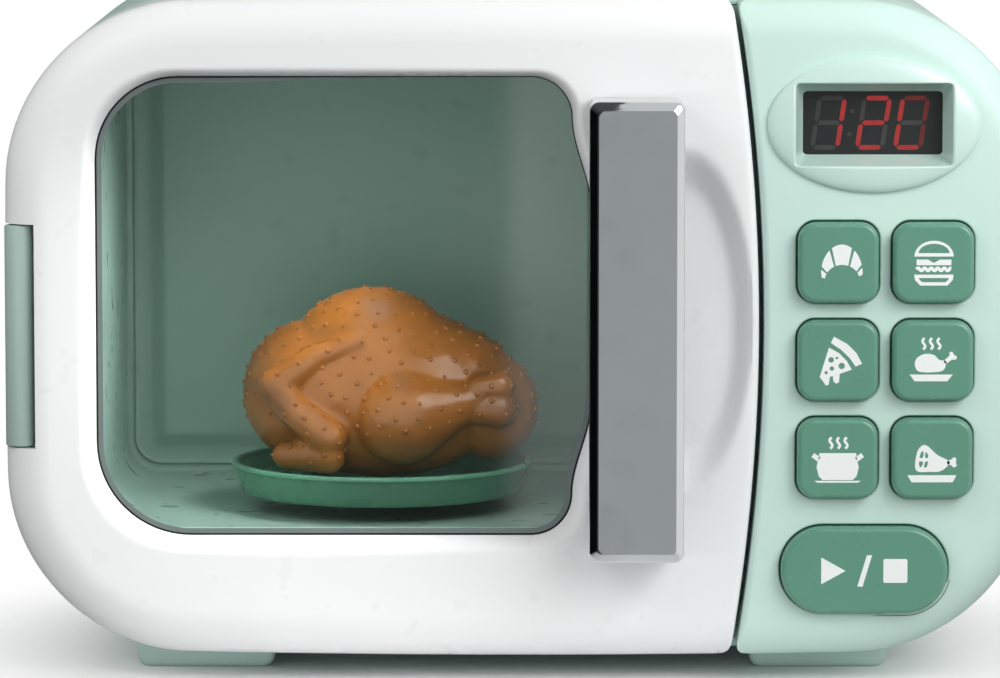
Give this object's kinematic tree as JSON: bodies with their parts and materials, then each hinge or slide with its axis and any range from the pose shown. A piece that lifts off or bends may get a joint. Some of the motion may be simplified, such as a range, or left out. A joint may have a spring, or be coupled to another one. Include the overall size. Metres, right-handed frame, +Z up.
{
  "type": "toy microwave oven",
  "caption": "Toy microwave oven with a side-hinged window door, upright bar handle, digital display, press keys and a geared turntable carrying a roast chicken.",
  "frame": {"origin": "middle of the footprint, on the surface that the feet stand on", "axes": "+X to the right seen from the front, +Y to the back, +Z up; the door faces -Y"},
  "size_m": [0.275, 0.1762, 0.1831],
  "materials": {
    "mint_plastic": "satin moulded plastic",
    "liner_plastic": "fine matte moulded plastic",
    "white_plastic": "glossy moulded plastic",
    "smoky_pane": "smoky clear pane",
    "chrome_plate": "bright plated plastic",
    "green_plastic": "satin moulded plastic",
    "plate_plastic": "glossy moulded plastic",
    "roast_plastic": "glossy soft vinyl",
    "black_plastic": "matte",
    "board_laminate": "laminate with solder mask",
    "nylon": "natural moulded plastic",
    "cell_steel": "plain sleeve",
    "bright_steel": "zinc plated"
  },
  "bodies": {
    "cabinet": {"outer_case": "mint_plastic", "front_frame": "mint_plastic", "control_panel": "mint_plastic", "display_bezel": "mint_plastic", "hinge_knuckle": "mint_plastic", "rear_cover": "mint_plastic", "foot_front_left": "mint_plastic", "foot_front_right": "mint_plastic", "foot_rear_left": "mint_plastic", "foot_rear_right": "mint_plastic", "oven_liner": "liner_plastic", "display_module": "black_plastic", "speaker": "black_plastic", "battery_box": "black_plastic", "control_board": "board_laminate", "oven_led": "nylon", "keypad_membrane": "nylon", "latch_catch": "nylon", "gear_housing": "nylon", "battery_1": "cell_steel", "battery_2": "cell_steel", "battery_3": "cell_steel", "turntable_motor": "bright_steel", "contact_left": "bright_steel", "contact_right": "bright_steel", "rear_screw_1": "bright_steel", "rear_screw_2": "bright_steel", "rear_screw_3": "bright_steel", "rear_screw_4": "bright_steel", "gear_screw_1": "bright_steel", "gear_screw_2": "bright_steel"},
    "door": {"door_shell": "white_plastic", "door_frame": "white_plastic", "window_pane": "smoky_pane", "door_handle": "chrome_plate", "latch_hook": "nylon", "hinge_pin_top": "bright_steel", "hinge_pin_bottom": "bright_steel", "handle_screw_top": "bright_steel", "handle_screw_bottom": "bright_steel", "door_screw_1": "bright_steel", "door_screw_2": "bright_steel", "door_screw_3": "bright_steel", "door_screw_4": "bright_steel"},
    "button_r1_left": {"button_r1_left": "green_plastic"},
    "button_r1_right": {"button_r1_right": "green_plastic"},
    "button_r2_left": {"button_r2_left": "green_plastic"},
    "button_r2_right": {"button_r2_right": "green_plastic"},
    "button_r3_left": {"button_r3_left": "green_plastic"},
    "button_r3_right": {"button_r3_right": "green_plastic"},
    "button_start": {"button_start": "green_plastic"},
    "turntable": {"drive_gear": "nylon", "turntable_coupler": "nylon"},
    "pinion": {"motor_pinion": "nylon"},
    "plate": {"turntable_plate": "plate_plastic"},
    "food": {"roast_chicken": "roast_plastic"},
    "battery_lid": {"battery_door": "mint_plastic", "battery_door_screw": "bright_steel"}
  },
  "joints": [
    {"name": "door_swing", "type": "hinge", "parent": "cabinet", "child": "door", "pos_m": [-0.1335, -0.06205, 0.0929], "axis": [0, 0, -1], "range_deg": [0, 105]},
    {"name": "button_r1_left_press", "type": "slide", "parent": "cabinet", "child": "button_r1_left", "axis": [0, 1, 0], "range_m": [0, 0.0015], "stiffness_N_per_m": 300},
    {"name": "button_r1_right_press", "type": "slide", "parent": "cabinet", "child": "button_r1_right", "axis": [0, 1, 0], "range_m": [0, 0.0015], "stiffness_N_per_m": 300},
    {"name": "button_r2_left_press", "type": "slide", "parent": "cabinet", "child": "button_r2_left", "axis": [0, 1, 0], "range_m": [0, 0.0015], "stiffness_N_per_m": 300},
    {"name": "button_r2_right_press", "type": "slide", "parent": "cabinet", "child": "button_r2_right", "axis": [0, 1, 0], "range_m": [0, 0.0015], "stiffness_N_per_m": 300},
    {"name": "button_r3_left_press", "type": "slide", "parent": "cabinet", "child": "button_r3_left", "axis": [0, 1, 0], "range_m": [0, 0.0015], "stiffness_N_per_m": 300},
    {"name": "button_r3_right_press", "type": "slide", "parent": "cabinet", "child": "button_r3_right", "axis": [0, 1, 0], "range_m": [0, 0.0015], "stiffness_N_per_m": 300},
    {"name": "button_start_press", "type": "slide", "parent": "cabinet", "child": "button_start", "axis": [0, 1, 0], "range_m": [0, 0.0015], "stiffness_N_per_m": 300},
    {"name": "turntable_spin", "type": "hinge", "parent": "cabinet", "child": "turntable", "pos_m": [-0.0385, -0.001, 0.03], "axis": [0, 0, 1], "continuous": true},
    {"name": "pinion_spin", "type": "hinge", "parent": "cabinet", "child": "pinion", "pos_m": [-0.01315, -0.001, 0.03], "axis": [0, 0, 1], "continuous": true},
    {"name": "plate_lift", "type": "slide", "parent": "turntable", "child": "plate", "axis": [0, 0, 1], "range_m": [0, 0.012]},
    {"name": "food_lift", "type": "slide", "parent": "plate", "child": "food", "axis": [0, 0, 1], "range_m": [0, 0.045]},
    {"name": "battery_lid_off", "type": "slide", "parent": "cabinet", "child": "battery_lid", "axis": [0, 1, 0], "range_m": [0, 0.015]}
  ],
  "couplings": [
    {"joint": "pinion_spin", "follows": "turntable_spin", "ratio": -4}
  ]
}
